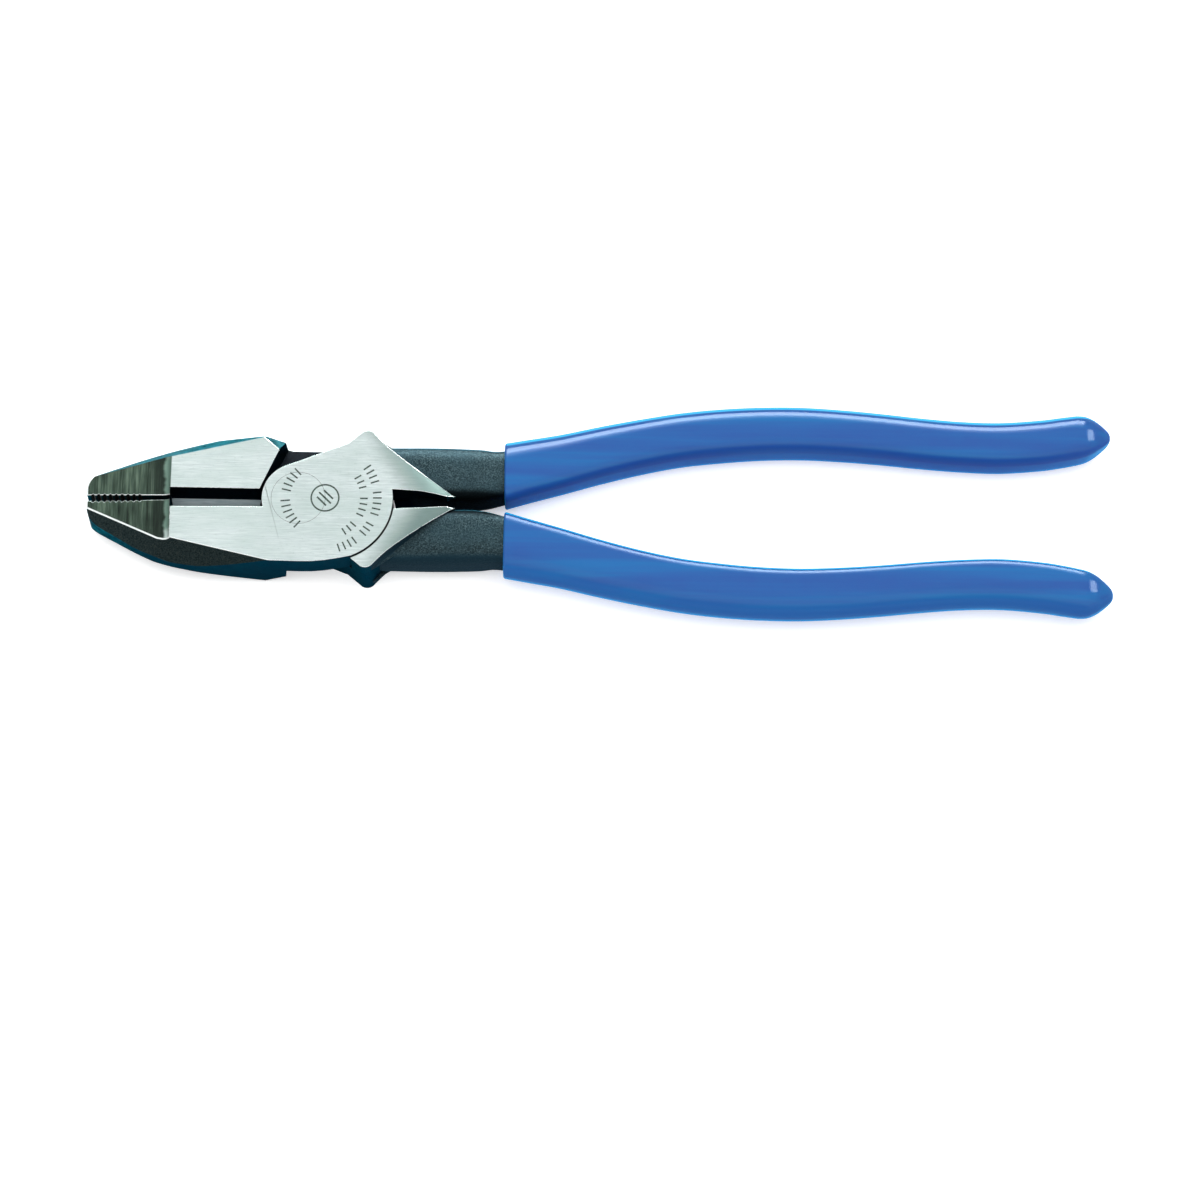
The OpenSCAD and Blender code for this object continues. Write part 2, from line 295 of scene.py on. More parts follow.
def mat_tooth():
    g = Graph("gripping_face_steel")
    s = g.noise((1.5, 1.5, 4.0), 4.0, 0.6)
    g.set(Base_Color=g.ramp(s, [(0.3, (0.006, 0.008, 0.008)), (0.7, (0.04, 0.05, 0.046))]), Metallic=0.7,
          Roughness=0.38, Normal=g.bump(s, 0.2, 0.03))
    return g.mat

def mat_wall():
    # painted shade: the inner walls of the slot, the knife relief and the hub cut get a near-black oxide with almost no
    # blue-green, darker than the open faces, for the shade they sit in
    return mat_oxide("oxide_and_shade_wall_steel", (0.012, 0.020, 0.024), (0.006, 0.010, 0.013), 0.008, 0.45)

def mat_grip():
    g = Graph("dipped_vinyl")
    flow = g.noise((0.010, 0.30, 0.30), 3.0, 0.5)
    cell = g.noise((0.25, 0.25, 0.25), 3.0, 0.5, (3, 3, 3))
    dust = g.noise((5.0, 5.0, 5.0), 2.0, 0.6)
    col = g.ramp(flow, [(0.36, (0.021, 0.078, 0.285)), (0.50, (0.020, 0.092, 0.305)), (0.64, (0.015, 0.118, 0.335))])
    col = g.mix(g.span(cell, 0.4, 0.7, 0.0, 0.2), col, (0.016, 0.105, 0.32))
    ns = normal(g)
    # painted shade: faces turned down get a darker indigo blue
    painted_underside_shade = g.span(ns[2], 0.55, 0.80, 1.0, 0.0, True)
    deep = g.mix(g.span(g.y, -2.0, 2.0), (0.016, 0.104, 0.350), (0.015, 0.064, 0.320))
    col = g.mix(g.math("MULTIPLY", painted_underside_shade, 0.6), col, deep)
    # painted reflection: cyan round the silhouette at glancing angles
    painted_rim_reflection = g.span(facing(g), 0.62, 0.88, 0.0, 0.95, True)
    col = g.mix(painted_rim_reflection, col, (0.010, 0.34, 0.80))
    # painted reflection: a brighter cyan band on faces turned towards +Y at glancing angles
    painted_grazing_sheen = g.math("MULTIPLY", g.span(ns[1], 0.64, 0.74, 0.0, 0.92, True), g.span(facing(g), 0.34, 0.50, 0.0, 1.0, True))
    col = g.mix(painted_grazing_sheen, col, (0.020, 0.48, 0.92))
    h = g.math("ADD", g.math("MULTIPLY", cell, 1.0), g.math("MULTIPLY", dust, 0.04))
    g.set(Base_Color=col, Roughness=g.span(dust, 0.35, 0.7, 0.13, 0.18), Specular_IOR_Level=g.span(ns[2], 0.30, 0.75, 0.04, 0.22, True),
          Specular_Tint=(0.75, 0.9, 1.0), Normal=g.bump(h, 0.12, 0.25))
    return g.mat

MATS = [mat_oxide(), mat_ground(), mat_nose(), mat_knife(), mat_lap(), mat_forged(), mat_stamp(), mat_edge(),
        mat_tooth(), mat_wall()]
GRIP_MAT = mat_grip()

# ---------------------------------------------------------------- mesh helpers (millimetres)
def obj_from(bm, name):
    bmesh.ops.recalc_face_normals(bm, faces=bm.faces)
    me = bpy.data.meshes.new(name)
    bm.to_mesh(me)
    bm.free()
    for m in MATS:
        me.materials.append(m)
    o = bpy.data.objects.new(name, me)
    bpy.context.scene.collection.objects.link(o)
    return o

def stack(rings, mat_side, mat_a=None, mat_b=None, name="tmp", mat_fn=None, tri=False):
    """Closed solid through rings of equal length."""
    bm = bmesh.new()
    vs = [[bm.verts.new(p) for p in r] for r in rings]
    n = len(rings[0])
    for k in range(len(rings) - 1):
        for i in range(n):
            j = (i + 1) % n
            f = bm.faces.new((vs[k][i], vs[k][j], vs[k + 1][j], vs[k + 1][i]))
            f.material_index = mat_fn(k, i) if mat_fn else mat_side
            f.smooth = True
    if tri:
        bmesh.ops.triangulate(bm, faces=bm.faces[:])
    a = bm.faces.new(list(reversed(vs[0])))
    b = bm.faces.new(vs[-1])
    a.material_index = mat_side if mat_a is None else mat_a
    b.material_index = mat_side if mat_b is None else mat_b
    return obj_from(bm, name)

def prism(outline, z0, z1, side=OXIDE, low=OXIDE, top=OXIDE):
    return stack([[(x, y, z0) for x, y in outline], [(x, y, z1) for x, y in outline]], side, low, top)

def placed_prism(poly, length, m, mat):
    """2D polygon (u, v) pushed along w by length, then moved by matrix m."""
    r0 = [m @ Vector((u, v, 0)) for u, v in poly]
    r1 = [m @ Vector((u, v, length)) for u, v in poly]
    return stack([r0, r1], mat)

def tube(cx, cy, profile, mat, n=128):
    """Solid of revolution about a Z line through (cx, cy); profile is (r, z) from bottom to top."""
    rings = []
    for r, z in profile:
        rings.append([(cx + r * math.cos(2 * math.pi * i / n), cy + r * math.sin(2 * math.pi * i / n), z)
                      for i in range(n)])
    return stack(rings, mat)

def boolean(a, b, op="DIFFERENCE", keep=False):
    m = a.modifiers.new("b", "BOOLEAN")
    m.operation = op
    m.solver = "MANIFOLD"
    m.object = b
    bpy.context.view_layer.update()
    dg = bpy.context.evaluated_depsgraph_get()
    me = bpy.data.meshes.new_from_object(a.evaluated_get(dg))
    a.modifiers.remove(m)
    old = a.data
    a.data = me
    bpy.data.meshes.remove(old)
    if not keep:
        me = b.data
        bpy.data.objects.remove(b)
        bpy.data.meshes.remove(me)
    return a

def arc(cx, cy, r, a0, a1, n):
    return [(cx + r * math.cos(math.radians(a0 + (a1 - a0) * i / n)),
             cy + r * math.sin(math.radians(a0 + (a1 - a0) * i / n))) for i in range(n + 1)]

def curve(rows, k):
    """Smooth curve through the rows, k steps between two rows."""
    out = []
    n = len(rows)
    for i in range(n - 1):
        a, b, c, d = rows[max(i - 1, 0)], rows[i], rows[i + 1], rows[min(i + 2, n - 1)]
        for j in range(k):
            t = j / k
            out.append(tuple(0.5 * (2 * q + (r - p) * t + (2 * p - 5 * q + 4 * r - s) * t * t
                                    + (3 * q - p - 3 * r + s) * t ** 3) for p, q, r, s in zip(a, b, c, d)))
    out.append(tuple(rows[-1]))
    return out

def flip_z(m=Matrix.Identity(4)):
    return Matrix.Translation((0, 0, T)) @ Matrix.Diagonal((1, 1, -1, 1)) @ m

# ---------------------------------------------------------------- outlines of one half (closed, jaw at -Y)
JAW_TIP = [(-49, 2.2), (-48.6, 3.6), (-47.6, 4.7), (-46.4, 5.6)]
JAW_BACK = [(-46.4, 5.6), (-42.3, 7.95), (-38.1, 10.35), (-34, 12.25), (-29.9, 13.65), (-26.2, 14.4), (-22.7, 14.9),
            (-17.4, 15.15), (-12, 15.2), (-7, 15.15)]
DISC_RIM = [(-3, 15.25), (0, 15.35), (3, 15.35), (6, 15.1), (9.7, 14.5)]
ROOT_IN = [(28.5, 1.75), (34.3, 0.9), (36.4, 1.1)]
CREASE = [(36.4, 1.1), (34.8, 1.9), (27.8, 6.86), (20.9, 12.27), (17.3, 16.0)]
SPUR = [(16.75, 16.35), (16.1, 16.52), (15.4, 16.48), (14.8, 16.25)]
NECK = [(11.3, 13.35)]

back = curve(JAW_TIP, 2)[:-1] + curve(JAW_BACK, 4)
crease = curve(CREASE, 3)
jaw_face = [(-HUB_R, -0.03), (-29.7, -0.03), (-29.7, -0.27), (-49, -0.27)]
plate = ([(x, -y) for x, y in back] + [(x, -y) for x, y in DISC_RIM] + arc(DISC_X, 0, DISC_R, -68, 8.4, 40)
         + ROOT_IN[:-1] + crease + SPUR + NECK + arc(0, 0, HUB_R, 110.9, 179, 24) + jaw_face)
jaw = [(x, -y) for x, y in back] + [(-3, -15.25), (0, -15.35), (0, -0.03)] + jaw_face
root = [(12, 2.2), (21.67, 2.2)] + ROOT_IN[:-1] + crease + SPUR + NECK

# ---------------------------------------------------------------- handle sections
TANG = [(18, 8.2, 11.8, 11), (24, 8.15, 11.9, 11.2), (30, 7.65, 12.8, 12), (36, 7.35, 13.1, 12.4), (42, 7.25, 12.8, 12.1),
        (47.6, 7.72, 11.5, 10.6), (60.8, 11, 10.2, 10.1), (79.3, 15.5, 9, 9.9), (97.9, 18.25, 8.6, 9.8),
        (116.5, 18.95, 8.3, 9.6), (135, 17.5, 8.1, 9.5), (153.6, 15.6, 7.9, 9.4), (172.1, 15.9, 7.6, 9),
        (179, 16.9, 6.4, 7.6), (182, 17.4, 4.2, 5.2)]
GRIP = [(53.5, 9.6, 14.1, 12.55), (60.8, 11.22, 13.3, 12.5), (70.1, 13.57, 12.65, 12.4), (79.3, 15.62, 12.1, 12.3),
        (88.6, 17.32, 11.8, 12.2), (97.9, 18.34, 11.7, 12.2), (107.2, 18.92, 11.5, 12.1), (116.5, 19, 11.35, 12),
        (125.7, 18.5, 11.2, 12), (135, 17.68, 11.05, 11.9), (144.3, 16.66, 10.95, 11.8), (153.6, 15.86, 10.85, 11.8),
        (162.9, 15.55, 10.95, 11.7), (172.1, 16.16, 11, 11.5)]

def power(v, e):
    return math.copysign(abs(v) ** e, v)

def section(r, n_out, n_in, g, m):
    pts = []
    for i in range(m):
        a = 2 * math.pi * i / m
        e = n_out if math.cos(a) >= 0 else n_in
        pts.append((r[0], r[1] + (r[2] / 2 + g) * power(math.cos(a), 2 / e), MID + (r[3] / 2 + g) * power(math.sin(a), 2 / e)))
    return pts

# ---------------------------------------------------------------- the forging
def bevel_cutter(p, a, slope, mat):
    m = (Matrix.Translation((p[0], p[1], T)) @ Matrix.Rotation(math.radians(a), 4, "Z")
         @ Matrix.Rotation(math.radians(slope), 4, "X"))
    pts = [(-70, -60), (70, -60), (70, 60), (-70, 60)]
    return placed_prism(pts, 60, m, mat)

def mirrored(o):
    o.data.transform(flip_z())
    o.data.flip_normals()
    return o

def slope_cutter():
    """Ground face rolling down to the tang beyond a line across the handle root."""
    R = 17.0
    prof = [(-1.6, T + 6)] + [(-1.6 + R * math.sin(t), T - R * (1 - math.cos(t)))
                              for t in [math.radians(34) * i / 16 for i in range(17)]] + [(30, T - 4), (30, T + 6)]
    d = Vector((6.2, -10.3, 0)).normalized()
    n = Vector((-d.y, d.x, 0))
    rings = []
    for s in (-30, 40):
        base = Vector((21.3, 12.3, 0)) + d * s
        rings.append([tuple(base + n * u + Vector((0, 0, v))) for u, v in prof])
    return stack(rings, GROUND)

def shoulder():
    """Hollow shoulder under the crease, from the ground face down to the tang."""
    pts = curve([(17.3, 16.0), (20.9, 12.27), (27.8, 6.86), (34.8, 1.9), (36.2, 1.2)], 5)
    d = Vector((6.2, -10.3)).normalized()
    nn = Vector((-d.y, d.x))
    rows = []
    for i, p in enumerate(pts):
        a = Vector(pts[max(i - 1, 0)])
        b = Vector(pts[min(i + 1, len(pts) - 1)])
        t = (b - a).normalized()
        out = Vector((-t.y, t.x))
        s = max((Vector(p) - Vector((21.3, 12.3))).dot(nn) + 1.6, 0)
        top = T - (17.0 - math.sqrt(17.0 ** 2 - s ** 2)) - 0.04
        h = max(top - (T - 3.2), 0.2)
        w = (0.2 + 0.55 * h) * min(1.0, 0.04 + i / 9.0) * min(1.0, 0.35 + (len(pts) - 1 - i) / 6.0)
        rows.append((Vector(p) - out * 0.02, out, top, h, w))
    inner = [(34.9, 1.25), (28.5, 2.2), (23.0, 2.8), (15.4, 12.5), (15.4, 15.7), (16.4, 16.0)]
    rings = []
    for z in [T - 3.6] + [T - 3.2 + 3.2 * k / 14 for k in range(14)] + [T + 1.0]:
        r = []
        for p, out, top, h, w in rows:
            t = min(max((top - z) / h, 0.0), 1.0)
            q = p + out * (w * (1 - math.sqrt(1 - t * t)))
            r.append((q.x, q.y, z))
        r += [(x, y, z) for x, y in inner]
        rings.append(r)
    return stack(rings, FORGED, FORGED, GROUND, tri=True)

def knife_tool(prof, m):
    r0 = [m @ Vector((u, v, 0)) for u, v in prof]
    r1 = [m @ Vector((u, v, 29.7)) for u, v in prof]
    return stack([r0, r1], WALL, WALL, WALL, mat_fn=lambda k, i: KNIFE if i == 0 else WALL)

def build_half():
    # front layer
    s0 = len(back) + len(DISC_RIM)
    n = len(plate)
    def plate_mat(k, i):
        if s0 <= i < s0 + 40:
            return LAPF
        if s0 + 40 <= i < s0 + 42:
            return WALL
        return TOOTH if i == n - 2 else WALL if i in (n - 3, n - 4) else OXIDE
    head = stack([[(x, y, MID + LAP) for x, y in plate], [(x, y, T) for x, y in plate]], OXIDE, LAPF, GROUND,
                 mat_fn=plate_mat)
    # knife relief, front side, stops at the hub
    prof = [(-0.03, MID), (-1.42, MID + 1.65), (-2.08, T), (-2.1, T + 1), (3, T + 1), (3, MID)]
    m = Matrix(((0, 0, 1, -29.7), (1, 0, 0, 0), (0, 1, 0, 0), (0, 0, 0, 1)))
    relief = knife_tool(prof, m)
    boolean(relief, tube(0, 0, [(HUB_R, -5), (HUB_R, T + 5)], OXIDE))
    boolean(head, relief)
    # back layer of the jaw
    low = prism(jaw, 0, MID + 1, OXIDE, GROUND, OXIDE)
    boolean(low, tube(0, 0, [(HUB_R + HUB_GAP, -1), (HUB_R + HUB_GAP, T)], WALL))
    wall = (Matrix.Translation((-8.2, -4, 0)) @ Matrix.Rotation(math.radians(-66.3), 4, "Z")
            @ Matrix.Rotation(math.radians(-3.4), 4, "X") @ Matrix.Translation((0, 0, -20)))
    boolean(low, placed_prism([(-50, 0), (50, 0), (50, 50), (-50, 50)], 60, wall, WALL))
    boolean(low, mirrored(bevel_cutter((-8.02, -14.45), 39.6, 46, OXIDE)))
    boolean(low, mirrored(knife_tool(prof, m)))
    # back layer of the handle root
    foot = stack([[(x, y, 0) for x, y in root], [(x, y, MID + 1) for x, y in root]], OXIDE, GROUND, OXIDE,
                 mat_fn=lambda k, i: WALL if i < 3 else OXIDE)
    gap = DISC_R + DISC_GAP + 0.20
    boolean(foot, tube(DISC_X, 0, [(gap, -1), (gap, T)], LAPF, 192))
    # tang
    path = curve(TANG, 6)
    tang = stack([section(r, 3.4, 5, 0, 64) for r in path], FORGED, tri=True)
    boolean(tang, tube(DISC_X, 0, [(gap, -1), (gap, MID + LAP)], LAPF, 192))
    boolean(head, low, "UNION")
    boolean(head, foot, "UNION")
    for flip in (False, True):
        side = mirrored(shoulder()) if flip else shoulder()
        if flip:
            boolean(side, tube(DISC_X, 0, [(gap, -2), (gap, MID)], LAPF, 192))
        boolean(head, side, "UNION")
    big = [(-90, -60), (90, -60), (90, 60), (-90, 60)]
    boolean(head, prism(big, T, T + 9, GROUND, GROUND, GROUND))
    boolean(head, prism(big, -9, 0, GROUND, GROUND, GROUND))
    for flip in (False, True):
        boolean(head, mirrored(slope_cutter()) if flip else slope_cutter())
    boolean(head, tang, "UNION")
    # nose facets with their hollow step, and the forged bevels
    fac = [(-51, T + 2), (-29.6, T + 2)] + [(-31.6 + 2.6 * math.sin(math.radians(50.6) * (1 - i / 10)),
                                             T - 0.95 + 2.6 * (1 - math.cos(math.radians(50.6) * (1 - i / 10))))
                                            for i in range(11)] + [(-51, T - 2.06)]
    mx = Matrix(((1, 0, 0, 0), (0, 0, 1, -30), (0, 1, 0, 0), (0, 0, 0, 1)))
    for flip in (False, True):
        for c in (placed_prism(fac, 60, mx, NOSE), bevel_cutter((-27.8, -10), -13.57, 57, OXIDE)):
            boolean(head, mirrored(c) if flip else c)
    boolean(head, bevel_cutter((-46.4, -1.76), -26.8, 56.5, OXIDE))
    # grooves across and along the gripping face
    for i in range(9):
        x = -47.6 + 1.36 * i
        boolean(head, prism([(x - 0.48, 0.13), (x - 0.48, -0.27), (x, -0.67), (x + 0.48, -0.27), (x + 0.48, 0.13)],
                            -1, T + 1, TOOTH, TOOTH, TOOTH))
    # rivet hole with a countersink at the front
    g = 0.02
    c = 1.5 + g * 1.4142
    boolean(head, tube(0, 0, [(SHANK_R + g, -1), (SHANK_R + g, T - c), (HEAD_R + g * 1.4142 + 1, T + 1)], LAPF))
    return head

half = build_half()

# ---------------------------------------------------------------- generic stamping: plain ticks and a plain ring
def ticks():
    bm = bmesh.new()
    def bar(cx, cy, ang, length, width, z0=None):
        z0 = T - 0.16 if z0 is None else z0
        c, s = math.cos(math.radians(ang)), math.sin(math.radians(ang))
        q = []
        for z in (z0, T + 0.5):
            for u, v in ((-length / 2, -width / 2), (length / 2, -width / 2), (length / 2, width / 2), (-length / 2, width / 2)):
                q.append(bm.verts.new((cx + c * u - s * v, cy + s * u + c * v, z)))
        for f in ((3, 2, 1, 0), (4, 5, 6, 7), (0, 1, 5, 4), (1, 2, 6, 5), (2, 3, 7, 6), (3, 0, 4, 7)):
            bm.faces.new([q[i] for i in f]).material_index = STAMP
    def row(cx, cy, r, a0, a1, n, length, width, skip=()):
        for i in range(n):
            if i in skip:
                continue
            a = a0 + (a1 - a0) * i / (n - 1)
            bar(cx + r * math.cos(math.radians(a)), cy + r * math.sin(math.radians(a)), a, length, width)
    row(5.6, 0, 8.6, 132, 228, 12, 2.2, 0.36, (5,))
    row(5.6, 0, 12.7, -72, 36, 19, 2.0, 0.36, (4, 8, 14))
    row(5.6, 0, 9.6, -58, 32, 12, 1.8, 0.36, (3, 8))
    for k, w in ((-1, 3.0), (0, 3.9), (1, 3.0)):
        bar(6.2 + 0.8 * k, 0.8 * k, -45, w, 0.42)
    o = obj_from(bm, "ticks")
    n = 64
    for r0, r1 in ((3.0, 3.38),):
        ring = stack([[(6.2 + r1 * math.cos(2 * math.pi * i / n), r1 * math.sin(2 * math.pi * i / n), z) for i in range(n)]
                      for z in (T - 0.16, T + 0.5)], STAMP)
        boolean(ring, stack([[(6.2 + r0 * math.cos(2 * math.pi * i / n), r0 * math.sin(2 * math.pi * i / n), z)
                              for i in range(n)] for z in (T - 0.4, T + 0.8)], STAMP))
        boolean(o, ring, "UNION")
    return o

# ---------------------------------------------------------------- finishing
def report(tag, bm):
    bad = sum(1 for e in bm.edges if not e.is_manifold)
    print("MESH", tag, len(bm.verts), len(bm.faces), "open", bad, "vol %.1f" % bm.calc_volume())
    return bad

def weighted_bevel(o, width, mat):
    m = o.modifiers.new("bevel", "BEVEL")
    m.width = width
    m.offset_type = "OFFSET"
    m.limit_method = "WEIGHT"
    m.segments = 2
    m.use_clamp_overlap = False
    m.material = mat
    m.loop_slide = False
    bpy.context.view_layer.update()
    me = bpy.data.meshes.new_from_object(o.evaluated_get(bpy.context.evaluated_depsgraph_get()))
    o.modifiers.remove(m)
    return me

def stray(bm, mat, segs):
    """How far the worn-edge faces reach from the edges they follow."""
    worst = 0.0
    for v in bm.verts:
        if any(f.material_index == mat for f in v.link_faces):
            best = 1e9
            for a, d, n in segs:
                w = v.co - a
                t = min(max(w.dot(d) / n, 0.0), 1.0)
                best = min(best, (w - d * t).length_squared)
                if best < 0.25:
                    break
            worst = max(worst, best)
    return math.sqrt(worst)

def refine(o, quiet=False):
    """Clean the boolean result, then ease the edges: bright worn edges round the ground faces, dull ones elsewhere."""
    bm = bmesh.new()
    bm.from_mesh(o.data)
    for dist in (0.09, 0.07, 0.11, 0.05, 0.03):
        trial = bm.copy()
        bmesh.ops.dissolve_degenerate(trial, dist=dist, edges=[e for e in trial.edges
                                      if all(f.material_index not in (FORGED, STAMP) for f in e.link_faces)])
        if report(o.name + " cleaned %.2f" % dist, trial) == 0:
            bm.free()
            bm = trial
            break
        trial.free()
    es = [e for e in bm.edges if e.link_faces and all(f.material_index != FORGED for f in e.link_faces)]
    vs = [v for v in bm.verts if v.link_faces and all(f.material_index != FORGED for f in v.link_faces)]
    bmesh.ops.dissolve_limit(bm, angle_limit=math.radians(0.4), verts=vs, edges=es, delimit={"MATERIAL"})
    report(o.name + " dissolved", bm)
    bm.to_mesh(o.data)
    bm.free()
    def bright(m, c):
        if quiet and c.z < 3.5 and c.x < -15.0 and c.y < -4.0:
            return 0.0
        if not ({GROUND, NOSE} & m) or {STAMP, LAPF, FORGED, EDGE} & m:
            return 0.0
        return 0.05 if TOOTH in m else 0.24 if m == {NOSE, OXIDE} else 0.13
    def dull(m, c):
        return 0.0 if {GROUND, NOSE, STAMP, EDGE, FORGED, TOOTH, KNIFE} & m else 0.14
    for rule, mat in ((bright, EDGE), (dull, -1)):
        bm = bmesh.new()
        bm.from_mesh(o.data)
        lay = bm.edges.layers.float.get("bevel_weight_edge") or bm.edges.layers.float.new("bevel_weight_edge")
        v0 = bm.calc_volume()
        segs = []
        for e in bm.edges:
            e[lay] = 0.0
            if len(e.link_faces) == 2 and e.calc_face_angle(0.0) > math.radians(22):
                e[lay] = rule({f.material_index for f in e.link_faces}, (e.verts[0].co + e.verts[1].co) / 2)
            if e[lay] > 0.0:
                d = e.verts[1].co - e.verts[0].co
                segs.append((e.verts[0].co.copy(), d, max(d.length_squared, 1e-12)))
        bm.to_mesh(o.data)
        bm.free()
        for scale in (1.0, 1.15, 0.85, 0.7, 1.3):
            me = weighted_bevel(o, scale, mat)
            bm = bmesh.new()
            bm.from_mesh(me)
            bad = report(o.name + " bevel", bm) or abs(bm.calc_volume() - v0) > 60
            far = 0.0 if bad or mat != EDGE else stray(bm, EDGE, segs)
            bm.free()
            print("MESH", o.name, "bevel scale", scale, "reach %.2f" % far)
            if bad or far > 1.0:
                bpy.data.meshes.remove(me)
                continue
            old = o.data
            o.data = me
            bpy.data.meshes.remove(old)
            break
    for v in o.data.vertices:
        v.co.z = min(max(v.co.z, 0.0), T)
    for p in o.data.polygons:
        p.use_smooth = True
    a = o.data.attributes.get("bevel_weight_edge")
    if a:
        o.data.attributes.remove(a)
    o.data.set_sharp_from_angle(angle=math.radians(34))
    return o

SCALE = Matrix.Scale(0.001, 4)
FRONT = SCALE @ Matrix.Rotation(math.radians(REST), 4, "Z")
BACK = (SCALE @ Matrix.Rotation(math.radians(-REST), 4, "Z") @ Matrix.Translation((0, 0, T))
        @ Matrix.Rotation(math.radians(180), 4, "X"))

def piece(o, name, m, body, node):
    o.name = name
    o.data.name = name
    o.data.transform(m)
    w = o.modifiers.new("normals", "WEIGHTED_NORMAL")
    w.weight = 60
    w.keep_sharp = True
    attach(o, body)
    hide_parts(node)
    return o

def twin(o, name):
    c = o.copy()
    c.data = o.data.copy()
    c.name = name
    bpy.context.scene.collection.objects.link(c)
    return c

mark = ticks()
other = twin(half, "other")
boolean(other, prism([(-10.5, -15.3), (-7.5, -15.05), (-3.2, -14.4), (-2, -14.1), (8.2, -14.1), (11, -14.3), (12, -18),
                      (-10.5, -18)], -1, T + 1, OXIDE))
# the second bevel of the back side differs between the two forgings
boolean(half, mirrored(bevel_cutter((-46.4, -1.76), -26.8, 56.5, OXIDE)))
boolean(other, mirrored(bevel_cutter((-46.4, -4.3), -17.5, 65, OXIDE)))
boolean(half, twin(mark, "mark_a"))
front_half = piece(refine(half), "front_half_forging", FRONT, "front", "front_half")
back_half = piece(refine(other, True), "back_half_forging", BACK, "back", "back_half")

b = 0.03
rivet = tube(0, 0, [(HEAD_R - b, 0), (HEAD_R, b * 0.6), (SHANK_R + 0.1, 1.45), (SHANK_R, 1.62), (SHANK_R, T - 1.62),
                    (SHANK_R + 0.1, T - 1.45), (HEAD_R, T - b * 0.6), (HEAD_R - b, T)], WALL, 144)
for p in rivet.data.polygons:
    if abs(p.normal.z) > 0.99:
        p.material_index = GROUND
boolean(rivet, mark)
for p in rivet.data.polygons:
    p.use_smooth = True
rivet.data.set_sharp_from_angle(angle=math.radians(30))
rivet = piece(rivet, "rivet_pin", FRONT, "front", "pivot_rivet")

# ---------------------------------------------------------------- dipped grips
def build_grip():
    m = 96
    rows = []
    for k in range(7):                   # rounded mouth
        a = math.radians(90 * k / 6)
        rows.append((47.6 + 0.55 * (1 - math.cos(a)), 8.27 + 0.1 * math.sin(a), 13.6 + 1.2 * math.sin(a), 11.4 + 1.2 * math.sin(a)))
    rows += [r for r in curve([(48.15, 8.37, 14.8, 12.6)] + GRIP + [(177.2, 16.86, 10.95, 11.4), (180.8, 17.43, 10.75, 11.15)], 9)][1:]
    rows += [r for r in curve([(180.8, 17.43, 10.75, 11.15), (182.2, 17.58, 10.4, 10.8), (183.5, 17.66, 9.7, 10.1),
                               (185.0, 17.7, 8.2, 8.8), (186.4, 17.72, 6.2, 7.0), (187.5, 17.7, 4.4, 5.2),
                               (188.3, 17.7, 2.8, 3.5), (188.7, 17.7, 1.4, 1.7), (188.8, 17.7, 0.45, 0.6)], 4)][1:]
    outer = [section(r, 2.3, 4.2, 0.02, m) for r in rows]
    path = [r for r in curve(TANG, 6) if r[0] >= 47.6 - 1e-6]
    inner = [section(r, 3.4, 5, 0.03, 64) for r in path]
    bm = bmesh.new()
    vo = [[bm.verts.new(p) for p in r] for r in outer]
    vi = [[bm.verts.new(p) for p in r] for r in inner]
    for k in range(len(vo) - 1):
        for i in range(m):
            j = (i + 1) % m
            bm.faces.new((vo[k][i], vo[k][j], vo[k + 1][j], vo[k + 1][i]))
    bm.faces.new(vo[-1])
    for k in range(len(vi) - 1):
        for i in range(64):
            j = (i + 1) % 64
            bm.faces.new((vi[k][i], vi[k + 1][i], vi[k + 1][j], vi[k][j]))
    bm.faces.new(list(reversed(vi[-1])))
    eo = [bm.edges.get((vo[0][i], vo[0][(i + 1) % m])) for i in range(m)]
    ei = [bm.edges.get((vi[0][i], vi[0][(i + 1) % 64])) for i in range(64)]
    bmesh.ops.bridge_loops(bm, edges=eo + ei)
    bmesh.ops.recalc_face_normals(bm, faces=bm.faces)
    for f in bm.faces:
        f.smooth = True
    report("grip", bm)
    me = bpy.data.meshes.new("grip")
    bm.to_mesh(me)
    bm.free()
    me.materials.append(GRIP_MAT)
    me.set_sharp_from_angle(angle=math.radians(50))
    o = bpy.data.objects.new("grip", me)
    bpy.context.scene.collection.objects.link(o)
    return o

grip_a = build_grip()
grip_b = twin(grip_a, "grip_b")
front_grip = piece(grip_a, "front_grip_vinyl", FRONT, "front", "front_grip")
back_grip = piece(grip_b, "back_grip_vinyl", BACK, "back", "back_grip")

# ---------------------------------------------------------------- floor, light, camera
fl = bpy.data.meshes.new("floor")
fl.from_pydata([(-4, -4, 0), (4, -4, 0), (4, 4, 0), (-4, 4, 0)], [], [(0, 1, 2, 3)])
floor = bpy.data.objects.new("floor", fl)
floor.location = (0, 0, -0.0001)
bpy.context.scene.collection.objects.link(floor)
fm = bpy.data.materials.new("pale_floor")
fm.use_nodes = True
fb = fm.node_tree.nodes["Principled BSDF"]
fb.inputs["Base Color"].default_value = (0.90, 0.90, 0.90, 1)
fb.inputs["Roughness"].default_value = 0.9
fb.inputs["Specular IOR Level"].default_value = 0.0
fb.inputs["Emission Color"].default_value = (1.0, 0.985, 0.99, 1)
fb.inputs["Emission Strength"].default_value = 0.45
lp = fm.node_tree.nodes.new("ShaderNodeLightPath")
low = fm.node_tree.nodes.new("ShaderNodeBsdfDiffuse")
low.inputs["Color"].default_value = (0.42, 0.43, 0.44, 1)
mx = fm.node_tree.nodes.new("ShaderNodeMixShader")
fo = fm.node_tree.nodes["Material Output"]
fmax = fm.node_tree.nodes.new("ShaderNodeMath")
fmax.operation = "MAXIMUM"
fm.node_tree.links.new(lp.outputs["Is Camera Ray"], fmax.inputs[0])
fm.node_tree.links.new(lp.outputs["Is Diffuse Ray"], fmax.inputs[1])
